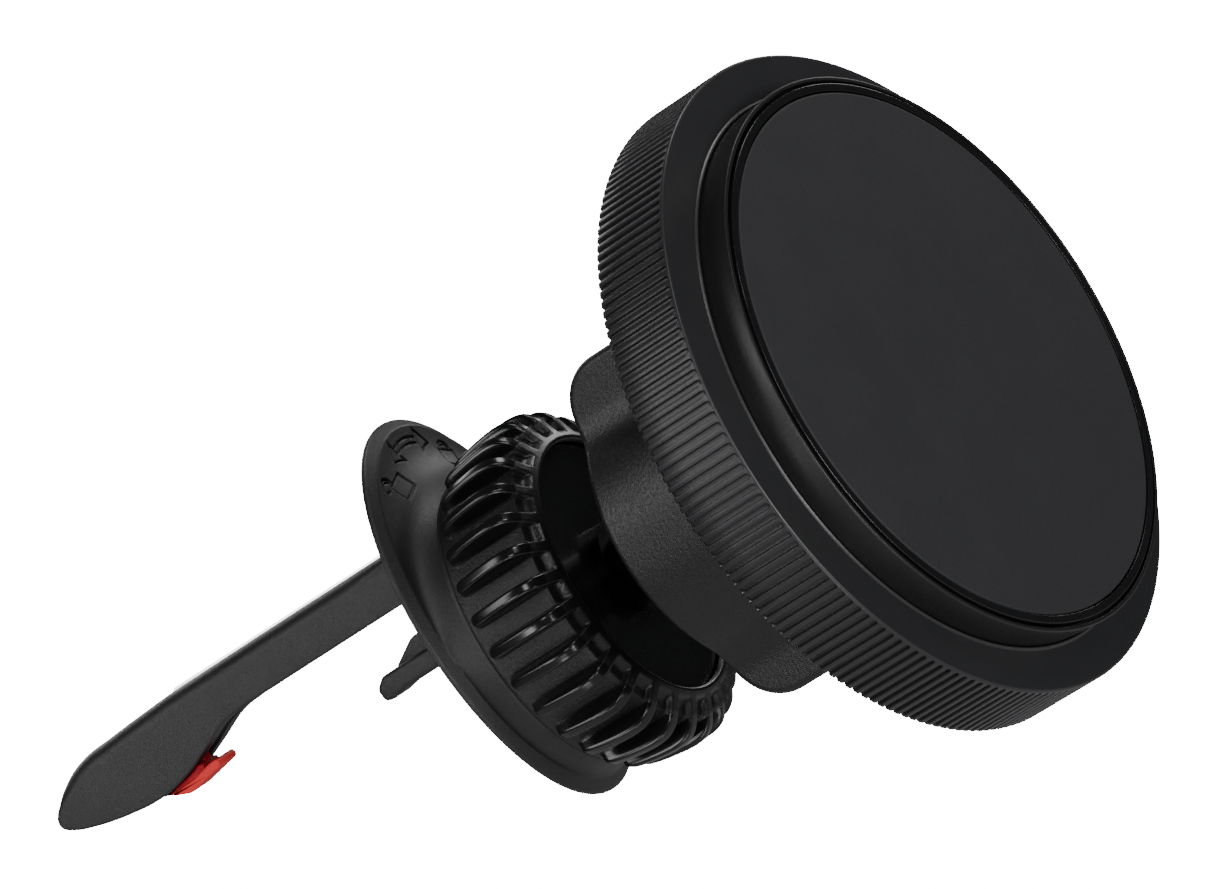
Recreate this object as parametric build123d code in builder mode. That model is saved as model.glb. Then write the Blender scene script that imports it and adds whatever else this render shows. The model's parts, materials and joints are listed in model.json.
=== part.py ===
"""Magnetic charging phone mount that hooks onto a car's air vent.

Frame: +Y runs into the vent, +Z is up, +X is to the driver's right.
The origin is where the nut's axis leaves the base plate's rear face.
The head is modelled turned a little to its left on its ball joint.
"""
from build123d import *
from math import cos, radians, sin, sqrt
import os

os.makedirs("parts", exist_ok=True)

# ---------------------------------------------------------------- driving dimensions, mm
RUNNING = 0.05            # radial clearance of parts that turn or slide in each other
GAP = 0.3                 # clearance between parts that only pass each other

# base plate
PLATE_HALF_WIDTH = 17.6
PLATE_HALF_HEIGHT = 21.4
PLATE_RISE = 3.5          # plate's centre above the nut's axis
PLATE_RIM = 0.4           # thickness of the plain rim
PLATE_BEVEL_DEPTH = 0.9
PLATE_BEVEL_INSET = 1.2
BOSS_RADIUS = 16.3
BOSS_FRONT = 4.0          # boss face in front of the plate's rear face
WALL = 1.2
PILLAR_RADIUS = 6.0
PILLAR_HALF_FLAT = 5.0
PILLAR_FRONT = 13.1

# tightening nut
NUT_FRONT = 15.4
NUT_BACK = 4.45
NUT_BORE = 14.65
NUT_FLOOR = 16.4          # radius of the grooves between the ribs
NUT_CREST = 18.45
NUT_LIP = 13.9
NUT_SKIRT = 15.5
RIB_COUNT = 30
RIB_WIDTH = 1.5

# ball stud
BALL_RADIUS = 8.5
BALL_AHEAD = 31.4         # ball centre in front of the plate's rear face
NECK_RADIUS = 3.5
SHANK_RADIUS = 2.5
SHANK_FIT = 0.05          # thread clearance round the shank
INSERT_RADIUS = 3.6

# hook
HOOK_TRAVEL = 9.0
CARRIAGE_FRONT = 3.8
CARRIAGE_BACK = 1.5
SPINE_HALF = 0.9
HOOK_HALF = 2.9
LEG_BOTTOM = 8.75
LEG_TOP = 13.9
SPINE_TOP = 14.15

# support lug
FIN_HALF = 1.0
LUG_HALF = 2.4

# head: depths are measured back from the pad's face
HEAD_TURN = 8.6           # degrees, to the left of the nut's axis
BALL_DEPTH = 26.28
PUCK_RISE = 1.06          # puck's centre above the ball's centre
PAD_RADIUS = 28.0
PLATFORM_RADIUS = 29.8
PLATFORM_FOOT = 29.4      # the platform's wall leans in towards the ring
SHELL_RADIUS = 33.0
RING_RADIUS = 34.3
RING_FRONT = 3.95
RING_BACK = 13.0
HOUSING_SPLIT = 7.0
HOUSING_BACK = 12.6
FLOOR_FRONT = 11.0
SCREW_CIRCLE = 29.9
SCREW_RADIUS = 0.8

# rear block of the head: distances behind the ball's centre
BLOCK_BACK = 8.0
BLOCK_WIDTH = 20.0
BLOCK_HEIGHT = 38.0
BLOCK_RISE = 0.15         # block's centre above the ball's centre
WING_ROUNDING = 5.5
BARREL_RADIUS = 16.0
SOCKET_BORE = 12.05
SOCKET_FLOOR = -10.6
LINER_INNER = BALL_RADIUS + RUNNING
LINER_OUTER = 9.5
CUP_INNER = LINER_OUTER + RUNNING
CUP_FRONT = -8.6
CUP_SHOULDER = 4.4
CUP_LIP = 6.2
CUP_LIP_RADIUS = 9.62
RETAINER_HOLE = 9.7
INLET_AHEAD = 4.0         # cable inlet's centre in front of the ball's centre

# ---------------------------------------------------------------- planes and axes
turn = radians(HEAD_TURN)
ball_centre = Vector(0, -BALL_AHEAD, 0)
head_right = Vector(cos(turn), -sin(turn), 0)
head_front = Vector(-sin(turn), -cos(turn), 0)
pad_centre = ball_centre + head_front * BALL_DEPTH + Vector(0, 0, PUCK_RISE)

FACE = Plane(origin=pad_centre, x_dir=head_right, z_dir=head_front)
FACE_SECTION = Plane(origin=pad_centre, x_dir=-head_front, z_dir=head_right)
FACE_AXIS = Axis(pad_centre, head_front)
SOCKET = Plane(origin=ball_centre, x_dir=head_right, z_dir=head_front)
SOCKET_SECTION = Plane(origin=ball_centre, x_dir=-head_front, z_dir=head_right)
SOCKET_AXIS = Axis(ball_centre, head_front)
inlet_mouth = ball_centre + head_front * INLET_AHEAD + Vector(0, 0, BLOCK_RISE - BLOCK_HEIGHT / 2)
INLET = Plane(origin=inlet_mouth, x_dir=head_right, z_dir=(0, 0, -1))


def turned(section, axis, outline):
    """Solid of revolution from a closed outline of (along the axis, radius) points."""
    with BuildPart() as solid:
        with BuildSketch(section):
            with BuildLine():
                Polyline(*outline, close=True)
            make_face()
        revolve(axis=axis)
    return solid


def washer(plane, outer, inner, front, thickness):
    """Flat ring whose front face lies the given distance behind the plane."""
    with BuildPart() as solid:
        with BuildSketch(plane.offset(-front)):
            Circle(outer)
            Circle(inner, mode=Mode.SUBTRACT)
        extrude(amount=-thickness)
    return solid


def disc(plane, radius, front, thickness):
    """Flat disc whose front face lies the given distance behind the plane."""
    with BuildPart() as solid:
        with BuildSketch(plane.offset(-front)):
            Circle(radius)
        extrude(amount=-thickness)
    return solid


pieces = {}

# ---------------------------------------------------------------- base plate with its lug
bevel_front = PLATE_RIM + PLATE_BEVEL_DEPTH
with BuildPart() as base_plate:
    with BuildSketch(Plane.XZ):
        with Locations((0, PLATE_RISE)):
            Ellipse(PLATE_HALF_WIDTH, PLATE_HALF_HEIGHT)
    extrude(amount=PLATE_RIM)
    with BuildSketch(Plane.XZ.offset(PLATE_RIM)):
        with Locations((0, PLATE_RISE)):
            Ellipse(PLATE_HALF_WIDTH, PLATE_HALF_HEIGHT)
    with BuildSketch(Plane.XZ.offset(bevel_front)):
        with Locations((0, PLATE_RISE)):
            Ellipse(PLATE_HALF_WIDTH - PLATE_BEVEL_INSET, PLATE_HALF_HEIGHT - PLATE_BEVEL_INSET)
    loft()
    with BuildSketch(Plane.XZ.offset(bevel_front)):
        with Locations((0, PLATE_RISE)):
            Ellipse(PLATE_HALF_WIDTH - PLATE_BEVEL_INSET, PLATE_HALF_HEIGHT - PLATE_BEVEL_INSET)
    with BuildSketch(Plane.XZ.offset(BOSS_FRONT)):
        Circle(BOSS_RADIUS)
    loft()
    # round recess for the nut's skirt, with a keyed pillar standing in it
    with BuildSketch(Plane.XZ.offset(WALL)):
        Circle(NUT_SKIRT + RUNNING)
    extrude(amount=BOSS_FRONT, mode=Mode.SUBTRACT)
    with BuildSketch(Plane.XZ.offset(WALL)):
        Circle(PILLAR_RADIUS)
        Rectangle(2 * PILLAR_HALF_FLAT, 2 * PILLAR_RADIUS, mode=Mode.INTERSECT)
    extrude(amount=PILLAR_FRONT - WALL)
    # bore for the threaded insert, and the stud's clearance hole in front of it
    with BuildSketch(Plane.XZ.offset(WALL + 3.7)):
        Circle(INSERT_RADIUS)
    extrude(amount=7.6, mode=Mode.SUBTRACT)
    with BuildSketch(Plane.XZ.offset(PILLAR_FRONT)):
        Circle(SHANK_RADIUS)
    extrude(amount=-0.6, mode=Mode.SUBTRACT)
    # slot that the hook's leg slides through
    with BuildSketch(Plane.XZ):
        with Locations((0, (LEG_BOTTOM + SPINE_TOP) / 2)):
            Rectangle(2 * (HOOK_HALF + GAP), SPINE_TOP - LEG_BOTTOM + 2 * GAP)
    extrude(amount=WALL, mode=Mode.SUBTRACT)
    # lug behind the plate: a thin fin standing on a thicker round-ended bar
    with BuildSketch(Plane.YZ.offset(-FIN_HALF)):
        with BuildLine():
            Polyline((12.6, 2.4), (-0.2, 2.4), (-0.2, 5.6), (9.0, 5.6))
            TangentArc((9.0, 5.6), (12.6, 3.6), tangent=(1, 0))
            Line((12.6, 3.6), (12.6, 2.4))
        make_face()
    extrude(amount=2 * FIN_HALF)
    with BuildSketch(Plane.YZ.offset(-LUG_HALF)):
        with BuildLine():
            Polyline((12.2, 1.6), (-0.2, 1.6), (-0.2, 3.8), (13.6, 3.8))
            ThreePointArc((13.6, 3.8), (15.1, 2.5), (14.0, 1.25))
            Line((14.0, 1.25), (12.2, 1.6))
        make_face()
    extrude(amount=2 * LUG_HALF)
    lug_sides = base_plate.edges().filter_by(lambda e: e.center().Y > 1 and abs(abs(e.center().X) - LUG_HALF) < 0.01)
    fillet(lug_sides, radius=0.5)
pieces["base_plate"] = base_plate

# cushion that rests against the vent
with BuildPart() as rear_cushion:
    with BuildSketch(Plane.XZ):
        with Locations((0, PLATE_RISE)):
            Ellipse(PLATE_HALF_WIDTH - 2, PLATE_HALF_HEIGHT - 2)
        with Locations((0, (1.2 + SPINE_TOP + GAP) / 2)):
            Rectangle(2 * (HOOK_HALF + GAP), SPINE_TOP + GAP - 1.2, mode=Mode.SUBTRACT)
    extrude(amount=-0.8)
pieces["rear_cushion"] = rear_cushion

# ---------------------------------------------------------------- ball stud and its seat
neck_start = sqrt(BALL_RADIUS**2 - NECK_RADIUS**2) - BALL_AHEAD
shank = SHANK_RADIUS - SHANK_FIT
with BuildPart() as ball_stud:
    with BuildSketch(Plane.YZ):
        with BuildLine():
            ThreePointArc((-BALL_AHEAD - BALL_RADIUS, 0), (-BALL_AHEAD, BALL_RADIUS), (neck_start, NECK_RADIUS))
            Polyline((neck_start, NECK_RADIUS), (-15.1, NECK_RADIUS), (-15.1, 5), (-13.9, 5), (-13.9, shank),
                     (-5, shank), (-5, 0), (-BALL_AHEAD - BALL_RADIUS, 0))
        make_face()
    revolve(axis=Axis.Y)
pieces["ball_stud"] = ball_stud

pieces["threaded_insert"] = washer(Plane.XZ.offset(12.5), INSERT_RADIUS, SHANK_RADIUS, 0, 7.6)

pieces["front_cap"] = turned(Plane.YZ, Axis.Y, [
    (-PILLAR_FRONT, SHANK_RADIUS), (-13.9, SHANK_RADIUS), (-13.9, 6.5), (-14.5, 13.0),
    (-14.5, 14.3), (-PILLAR_FRONT, 14.3)])

pieces["slip_washer"] = washer(Plane.XZ.offset(4.4), BOSS_RADIUS, NUT_SKIRT + RUNNING, 0, 0.4)

# ---------------------------------------------------------------- tightening nut
rib_angle = 360 / RIB_COUNT
with BuildPart() as rib:
    with BuildSketch(Plane.YZ.offset(-RIB_WIDTH / 2)):
        with BuildLine():
            Spline((-15.2, 14.9), (-14.0, 17.4), (-11.2, NUT_CREST), (-7.2, 17.95), (-5.3, 17.3), (-4.6, 16.1))
            Polyline((-4.6, 16.1), (-14.0, 16.1), (-15.2, 14.9))
        make_face()
    extrude(amount=RIB_WIDTH)

with BuildPart() as tightening_nut:
    with BuildSketch(Plane.YZ):
        with BuildLine():
            Polyline((-NUT_FRONT, NUT_LIP), (-NUT_FRONT, 14.7), (-14.2, NUT_FLOOR), (-NUT_BACK, NUT_FLOOR),
                     (-NUT_BACK, NUT_SKIRT), (-1.5, NUT_SKIRT), (-1.5, NUT_BORE), (-14.8, NUT_BORE),
                     (-14.8, NUT_LIP), close=True)
        make_face()
    revolve(axis=Axis.Y)
    for i in range(RIB_COUNT):
        add(rib.part, rotation=(0, i * rib_angle, 0))
pieces["tightening_nut"] = tightening_nut

# ---------------------------------------------------------------- hook
with BuildPart() as hook_carriage:
    with BuildSketch(Plane.XZ.offset(CARRIAGE_BACK)):
        Circle(NUT_BORE - RUNNING)
        with BuildSketch(mode=Mode.SUBTRACT):
            Circle(PILLAR_RADIUS + GAP)
            Rectangle(2 * (PILLAR_HALF_FLAT + GAP), 20, mode=Mode.INTERSECT)
        with Locations((0, 11.4)):
            Rectangle(2 * SPINE_HALF, 4.0, mode=Mode.SUBTRACT)
    extrude(amount=CARRIAGE_FRONT - CARRIAGE_BACK)
pieces["hook_carriage"] = hook_carriage

PIN_RADIUS = 0.8
PIN_HALF = 1.9
PIN_HEIGHT = 11.3
PIN_PLACES = [(9.0, PIN_HEIGHT), (40.0, PIN_HEIGHT - 0.8)]

with BuildPart() as hook_spine:
    with BuildSketch(Plane.YZ.offset(-SPINE_HALF)):
        with BuildLine():
            Polyline((-CARRIAGE_FRONT, 9.4), (31, 9.4), (36.5, 8.0), (44, 7.6), (50, 9.4), (50, 11.2),
                     (46.5, 12.6), (36, 13.4), (35, SPINE_TOP), (0.3, SPINE_TOP), (0.3, 13.4),
                     (-CARRIAGE_FRONT, 13.4), close=True)
        make_face()
        with Locations(*PIN_PLACES):
            Circle(PIN_RADIUS, mode=Mode.SUBTRACT)
    extrude(amount=2 * SPINE_HALF)
pieces["hook_spine"] = hook_spine


def cheek(inner_face, thickness):
    """Side plate of the hook: straight leg ending in a leaf that drops to a claw."""
    with BuildPart() as side:
        with BuildSketch(Plane.YZ.offset(inner_face)):
            with BuildLine():
                Line((-CARRIAGE_BACK, LEG_BOTTOM), (29.5, LEG_BOTTOM))
                Spline((29.5, LEG_BOTTOM), (33.3, 7.8), (38.1, 6.0), (42.0, 5.35), tangents=[(1, 0), (1, 0)])
                ThreePointArc((42.0, 5.35), (48.0, 6.05), (53.0, 7.6))
                ThreePointArc((53.0, 7.6), (53.8, 8.3), (53.75, 9.2))
                ThreePointArc((53.75, 9.2), (51.7, 11.6), (48.2, 13.1))
                Polyline((48.2, 13.1), (35, 14.0), (-CARRIAGE_BACK, LEG_TOP), (-CARRIAGE_BACK, LEG_BOTTOM))
            make_face()
        extrude(amount=thickness)
        outer_face = side.faces().sort_by(Axis.X)[-1 if thickness > 0 else 0]
        fillet(outer_face.edges().filter_by(lambda e: e.center().Y > 0), radius=0.3)
        with BuildSketch(Plane.YZ.offset(inner_face)):
            with Locations(*PIN_PLACES):
                Circle(PIN_RADIUS)
        extrude(amount=(PIN_HALF - SPINE_HALF) * (1 if thickness > 0 else -1), mode=Mode.SUBTRACT)
    return side


CHEEK_THICKNESS = HOOK_HALF - SPINE_HALF
pieces["hook_cheek_right"] = cheek(SPINE_HALF, CHEEK_THICKNESS)
pieces["hook_cheek_left"] = cheek(-SPINE_HALF, -CHEEK_THICKNESS)

with BuildPart() as hook_pins:
    with BuildSketch(Plane.YZ.offset(-PIN_HALF)):
        with Locations(*PIN_PLACES):
            Circle(PIN_RADIUS)
    extrude(amount=2 * PIN_HALF)
pieces["hook_pins"] = hook_pins

# soft tip: a core held between the side plates, and a wider lip that ends in a tongue
with BuildPart() as hook_tip:
    with BuildSketch(Plane.YZ.offset(-SPINE_HALF)):
        with BuildLine():
            Polyline((37.0, 4.8), (38.0, 4.35), (39.2, 4.2), (40.3, 4.5), (42.0, 5.4), (46.0, 5.9),
                     (44.0, 7.5), (38.4, 7.8), (36.9, 6.8), (36.9, 6.2), (36.4, 5.7), (37.0, 4.8))
        make_face()
    extrude(amount=2 * SPINE_HALF)
    with BuildSketch(Plane.YZ.offset(-2.2)):
        with BuildLine():
            ThreePointArc((35.2, 4.85), (34.6, 5.25), (35.2, 5.7))
            Polyline((35.2, 5.7), (37.0, 5.55), (38.2, 5.2), (39.6, 5.2), (41.2, 5.0))
            ThreePointArc((41.2, 5.0), (39.2, 4.2), (37.2, 4.55))
            Line((37.2, 4.55), (35.2, 4.85))
        make_face()
    extrude(amount=4.4)
pieces["hook_tip"] = hook_tip

# ---------------------------------------------------------------- ball joint's friction parts
LINER_OPENING = 46.5      # degrees from the neck's side
LINER_END = 150.0
with BuildPart() as ball_liner:
    with BuildSketch(SOCKET_SECTION):
        with BuildLine():
            inner_arc = CenterArc((0, 0), LINER_INNER, LINER_OPENING, LINER_END - LINER_OPENING)
            outer_arc = CenterArc((0, 0), LINER_OUTER, LINER_OPENING, LINER_END - LINER_OPENING)
            Line(inner_arc @ 0, outer_arc @ 0)
            Line(inner_arc @ 1, outer_arc @ 1)
        make_face()
    revolve(axis=SOCKET_AXIS)
pieces["ball_liner"] = ball_liner

cup_mouth = (5.6, sqrt(CUP_INNER**2 - 5.6**2))
cup_start = (CUP_FRONT, sqrt(CUP_INNER**2 - CUP_FRONT**2))
with BuildPart() as socket_cup:
    with BuildSketch(SOCKET_SECTION):
        with BuildLine():
            ThreePointArc(cup_mouth, (0, CUP_INNER), cup_start)
            Polyline(cup_start, (CUP_FRONT, SOCKET_BORE - RUNNING), (CUP_SHOULDER, SOCKET_BORE - RUNNING),
                     (CUP_SHOULDER, CUP_LIP_RADIUS), (CUP_LIP, CUP_LIP_RADIUS), (CUP_LIP, 8.1), cup_mouth)
        make_face()
    revolve(axis=SOCKET_AXIS)
pieces["socket_cup"] = socket_cup

pieces["socket_retainer"] = washer(SOCKET.offset(-CUP_SHOULDER - 0.1), SOCKET_BORE, RETAINER_HOLE, 0,
                                   BLOCK_BACK - CUP_SHOULDER - 0.1)

pieces["friction_spring"] = turned(SOCKET_SECTION, SOCKET_AXIS, [
    (SOCKET_FLOOR, 11.6), (SOCKET_FLOOR + 0.5, 11.6), (CUP_FRONT - 0.1, 7.5), (CUP_FRONT - 0.6, 7.5)])

# ---------------------------------------------------------------- rear housing
with BuildPart() as rear_housing:
    with BuildSketch(FACE.offset(-HOUSING_SPLIT)):
        Circle(SHELL_RADIUS)
    extrude(amount=HOUSING_SPLIT - HOUSING_BACK)
    with BuildSketch(SOCKET.offset(BALL_DEPTH - HOUSING_BACK)):
        with Locations((0, BLOCK_RISE)):
            Rectangle(BLOCK_WIDTH, BLOCK_HEIGHT)
        Circle(BARREL_RADIUS)
        waist = [v for v in vertices() if abs(abs(v.Y) - sqrt(BARREL_RADIUS**2 - BLOCK_WIDTH**2 / 4)) < 0.1]
        fillet(waist, radius=6)
    extrude(amount=-(BALL_DEPTH - HOUSING_BACK + BLOCK_BACK))
    # long rounding over the wings' ends, then a small one round the rest of the block's back
    wing_ends = rear_housing.edges().filter_by(Axis(ball_centre, head_right)).filter_by(
        lambda e: abs(abs(e.center().Z - BLOCK_RISE) - BLOCK_HEIGHT / 2) < 0.01)
    fillet(wing_ends.sort_by(SOCKET_AXIS)[:2], radius=WING_ROUNDING)
    back_face = rear_housing.faces().sort_by(SOCKET_AXIS)[0]
    fillet(back_face.edges(), radius=0.8)
    # socket bore from the back
    with BuildSketch(SOCKET.offset(-BLOCK_BACK)):
        Circle(SOCKET_BORE)
    extrude(amount=BLOCK_BACK - SOCKET_FLOOR, mode=Mode.SUBTRACT)
    # room for the electronics, with posts under the circuit board
    with BuildSketch(FACE.offset(-HOUSING_SPLIT)):
        Circle(SHELL_RADIUS - 1.1)
    extrude(amount=HOUSING_SPLIT - FLOOR_FRONT, mode=Mode.SUBTRACT)
    with BuildSketch(FACE.offset(-8.4)):
        with PolarLocations(20, 4, start_angle=45):
            Circle(1.6)
    extrude(amount=8.4 - FLOOR_FRONT)
    # screw holes
    with BuildSketch(FACE.offset(-HOUSING_BACK)):
        with PolarLocations(SCREW_CIRCLE, 4, start_angle=45):
            Circle(SCREW_RADIUS)
    extrude(amount=HOUSING_BACK - FLOOR_FRONT, mode=Mode.SUBTRACT)
    with BuildSketch(FACE.offset(-HOUSING_BACK)):
        with PolarLocations(SCREW_CIRCLE, 4, start_angle=45):
            Circle(1.6)
    extrude(amount=1.0, mode=Mode.SUBTRACT)
    # socket for the cable's plug in the lower wing, and the slot for its board
    with BuildSketch(INLET):
        RectangleRounded(9.1, 3.32, 1.55)
    extrude(amount=-5.95, mode=Mode.SUBTRACT)
    with BuildSketch(INLET.offset(-0.8)):
        with Locations((0, -2.1)):
            Rectangle(13.2, 1.0)
    extrude(amount=-5.15, mode=Mode.SUBTRACT)
pieces["rear_housing"] = rear_housing

with BuildPart() as housing_screws:
    with BuildSketch(FACE.offset(-HOUSING_BACK)):
        with PolarLocations(SCREW_CIRCLE, 4, start_angle=45):
            Circle(1.6)
    extrude(amount=1.0)
    with BuildSketch(FACE.offset(-HOUSING_BACK + 1.0)):
        with PolarLocations(SCREW_CIRCLE, 4, start_angle=45):
            Circle(SCREW_RADIUS)
    extrude(amount=4.0)
    with BuildSketch(FACE.offset(-HOUSING_BACK)):
        with PolarLocations(SCREW_CIRCLE, 4, start_angle=45):
            Rectangle(1.8, 0.35)
            Rectangle(0.35, 1.8)
    extrude(amount=0.4, mode=Mode.SUBTRACT)
pieces["housing_screws"] = housing_screws

# ---------------------------------------------------------------- cable inlet
with BuildPart() as usb_shell:
    with BuildSketch(INLET.offset(-0.05)):
        RectangleRounded(8.94, 3.16, 1.45)
        RectangleRounded(8.34, 2.56, 1.15, mode=Mode.SUBTRACT)
    extrude(amount=-5.8)
pieces["usb_shell"] = usb_shell

with BuildPart() as usb_tongue:
    with BuildSketch(INLET.offset(-4.8)):
        RectangleRounded(8.34, 2.56, 1.15)
    extrude(amount=-1.0)
    with BuildSketch(INLET.offset(-0.7)):
        Rectangle(6.69, 0.7)
    extrude(amount=-4.1)
pieces["usb_tongue"] = usb_tongue

with BuildPart() as usb_board:
    with BuildSketch(INLET.offset(-0.9)):
        with Locations((0, -2.1)):
            Rectangle(13.0, 0.8)
    extrude(amount=-4.9)
pieces["usb_board"] = usb_board

# ---------------------------------------------------------------- front of the head
with BuildPart() as front_housing:
    with BuildSketch(FACE_SECTION):
        with BuildLine():
            Polyline((1.0, 0), (1.0, 28.05), (1.2, 28.05), (1.2, 29.35), (0.3, 29.35), (0.15, 29.5),
                     (0.15, 29.65), (0.35, PLATFORM_RADIUS), (5.45, PLATFORM_FOOT), (5.45, SHELL_RADIUS),
                     (HOUSING_SPLIT, SHELL_RADIUS), (HOUSING_SPLIT, 28.2), (2.6, 28.2), (2.6, 0), close=True)
        make_face()
    revolve(axis=FACE_AXIS)
    with BuildSketch(FACE.offset(-HOUSING_SPLIT)):
        with PolarLocations(SCREW_CIRCLE, 4, start_angle=45):
            Circle(1.7)
    extrude(amount=HOUSING_SPLIT - FLOOR_FRONT)
    with BuildSketch(FACE.offset(-FLOOR_FRONT)):
        with PolarLocations(SCREW_CIRCLE, 4, start_angle=45):
            Circle(SCREW_RADIUS)
    extrude(amount=3.4, mode=Mode.SUBTRACT)
pieces["front_housing"] = front_housing

ring_bore = SHELL_RADIUS + 0.05
with BuildPart() as knurled_ring:
    with BuildSketch(FACE_SECTION):
        with BuildLine():
            Polyline((RING_FRONT, PLATFORM_FOOT + 0.2), (RING_FRONT, RING_RADIUS - 0.25),
                     (RING_FRONT + 0.25, RING_RADIUS), (RING_BACK - 0.3, RING_RADIUS),
                     (RING_BACK, RING_RADIUS - 0.3), (RING_BACK, ring_bore), (5.4, ring_bore),
                     (5.4, PLATFORM_FOOT + 0.2), close=True)
        make_face()
    revolve(axis=FACE_AXIS)
pieces["knurled_ring"] = knurled_ring

with BuildPart() as touch_pad:
    with BuildSketch(FACE):
        Circle(PAD_RADIUS)
    extrude(amount=-1.0)
    front_edge = touch_pad.edges().group_by(FACE_AXIS)[-1]
    fillet(front_edge, radius=0.25)
pieces["touch_pad"] = touch_pad

pieces["pad_bezel"] = turned(FACE_SECTION, FACE_AXIS, [
    (1.2, 28.15), (0.1, 28.15), (0.03, 28.25), (0.03, 28.85), (0.15, 28.97), (1.2, 28.97)])

# ---------------------------------------------------------------- inside the head
MAGNET_COUNT = 16
MAGNET_INNER = 22.8
MAGNET_OUTER = 27.4
magnet_arc = 360 / MAGNET_COUNT - 1.5
with BuildPart() as magnet_segment:
    with BuildSketch(FACE_SECTION):
        with Locations(((2.7 + 5.2) / 2, (MAGNET_INNER + MAGNET_OUTER) / 2)):
            Rectangle(5.2 - 2.7, MAGNET_OUTER - MAGNET_INNER)
    revolve(axis=FACE_AXIS, revolution_arc=magnet_arc)

magnets = [magnet_segment.part.rotate(FACE_AXIS, i * 360 / MAGNET_COUNT) for i in range(MAGNET_COUNT)]
with BuildPart() as magnet_ring:
    add(magnets)
pieces["magnet_ring"] = magnet_ring

pieces["magnet_yoke"] = washer(FACE, MAGNET_OUTER, MAGNET_INNER, 5.2, 0.8)
pieces["charging_coil"] = washer(FACE, 21.5, 10.0, 2.8, 1.0)
pieces["ferrite_disc"] = disc(FACE, 22.2, 3.8, 1.0)
pieces["circuit_board"] = disc(FACE, 27.0, 7.4, 1.0)

# ---------------------------------------------------------------- write one file per piece
for name, piece in pieces.items():
    piece.part.label = name
    export_step(piece.part, f"parts/{name}.step")
    print(name, round(piece.part.volume, 1), piece.part.is_valid)
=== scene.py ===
"""Visual model of a magnetic charging phone mount that hooks onto a car's air vent.

The CAD model is the frame. Pieces whose look depends on fine relief are rebuilt here: the knurled ring,
the ribbed nut, the plate with its sunk icons, the hook's rounded sides and soft tip, and the round
parts of the head. All the other CAD nodes stay and get a better material.
Lengths in this file are millimetres; they turn into metres where a mesh is written.
"""
import json
from math import acos, atan2, cos, hypot, pi, radians, sin, sqrt, tan

import bmesh
import bpy
from mathutils import Matrix, Vector


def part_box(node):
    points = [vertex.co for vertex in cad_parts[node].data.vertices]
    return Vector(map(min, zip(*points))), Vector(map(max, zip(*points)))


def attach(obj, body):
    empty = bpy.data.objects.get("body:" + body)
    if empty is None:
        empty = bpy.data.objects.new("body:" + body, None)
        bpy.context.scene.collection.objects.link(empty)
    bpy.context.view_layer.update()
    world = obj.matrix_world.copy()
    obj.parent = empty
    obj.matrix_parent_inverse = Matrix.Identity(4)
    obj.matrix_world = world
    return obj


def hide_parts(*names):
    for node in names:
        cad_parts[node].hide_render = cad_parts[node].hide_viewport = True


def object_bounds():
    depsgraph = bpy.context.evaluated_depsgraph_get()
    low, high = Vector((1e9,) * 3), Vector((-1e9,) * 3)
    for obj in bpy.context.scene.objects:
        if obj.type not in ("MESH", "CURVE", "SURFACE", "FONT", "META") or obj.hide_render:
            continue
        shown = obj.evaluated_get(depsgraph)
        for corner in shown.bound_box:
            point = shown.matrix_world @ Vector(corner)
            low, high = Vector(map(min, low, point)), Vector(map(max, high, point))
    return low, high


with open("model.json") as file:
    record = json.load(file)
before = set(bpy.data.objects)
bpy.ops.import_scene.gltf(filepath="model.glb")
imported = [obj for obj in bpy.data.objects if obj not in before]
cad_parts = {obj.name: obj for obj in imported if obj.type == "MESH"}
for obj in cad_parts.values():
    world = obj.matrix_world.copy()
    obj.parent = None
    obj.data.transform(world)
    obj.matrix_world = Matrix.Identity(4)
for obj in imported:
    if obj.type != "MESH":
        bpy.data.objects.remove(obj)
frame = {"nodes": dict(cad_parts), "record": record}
cad_low, cad_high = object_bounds()
MM = 0.001
mounts = {m["name"]: m for m in frame["record"]["mounts"]}


# ---------------------------------------------------------------- sizes read from the frame
def extent(node):
    """A CAD node's lowest and highest corner in millimetres."""
    low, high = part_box(node)
    return low / MM, high / MM


def radius_of(node):
    """Radius of a round node, from its height."""
    low, high = extent(node)
    return (high.z - low.z) / 2


pad_centre = Vector(mounts["phone_rest"]["pos_m"]) / MM
head_front = Vector(mounts["phone_rest"]["axis"]).normalized()
head_right = Vector((-head_front.y, head_front.x, 0))
PAD_RADIUS = radius_of("touch_pad")
RING_RADIUS = radius_of("knurled_ring")
SHELL_RADIUS = radius_of("front_housing")
BEZEL_RADIUS = radius_of("pad_bezel")
NUT_FRONT = -extent("tightening_nut")[0].y


def head_point(depth, across, up):
    """Row-frame point from a depth behind the pad's face and two distances across the pad."""
    return pad_centre - head_front * depth + head_right * across + Vector((0, 0, up))


def nut_point(depth, across, up):
    """Row-frame point from a distance in front of the plate's rear face and two across the nut."""
    return Vector((across, -depth, up))


# ---------------------------------------------------------------- mesh helpers
def finish_mesh(name, verts, faces, sharp_angle=34):
    """Mesh object in metres with outward normals, smooth but for edges sharper than the angle."""
    mesh = bpy.data.meshes.new(name)
    mesh.from_pydata([Vector(v) * MM for v in verts], [], faces)
    shape = bmesh.new()
    shape.from_mesh(mesh)
    bmesh.ops.remove_doubles(shape, verts=shape.verts, dist=1e-7)
    bmesh.ops.recalc_face_normals(shape, faces=shape.faces)
    shape.to_mesh(mesh)
    shape.free()
    mesh.shade_smooth()
    mesh.set_sharp_from_angle(angle=radians(sharp_angle))
    piece = bpy.data.objects.new(name, mesh)
    bpy.context.scene.collection.objects.link(piece)
    return piece


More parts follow.
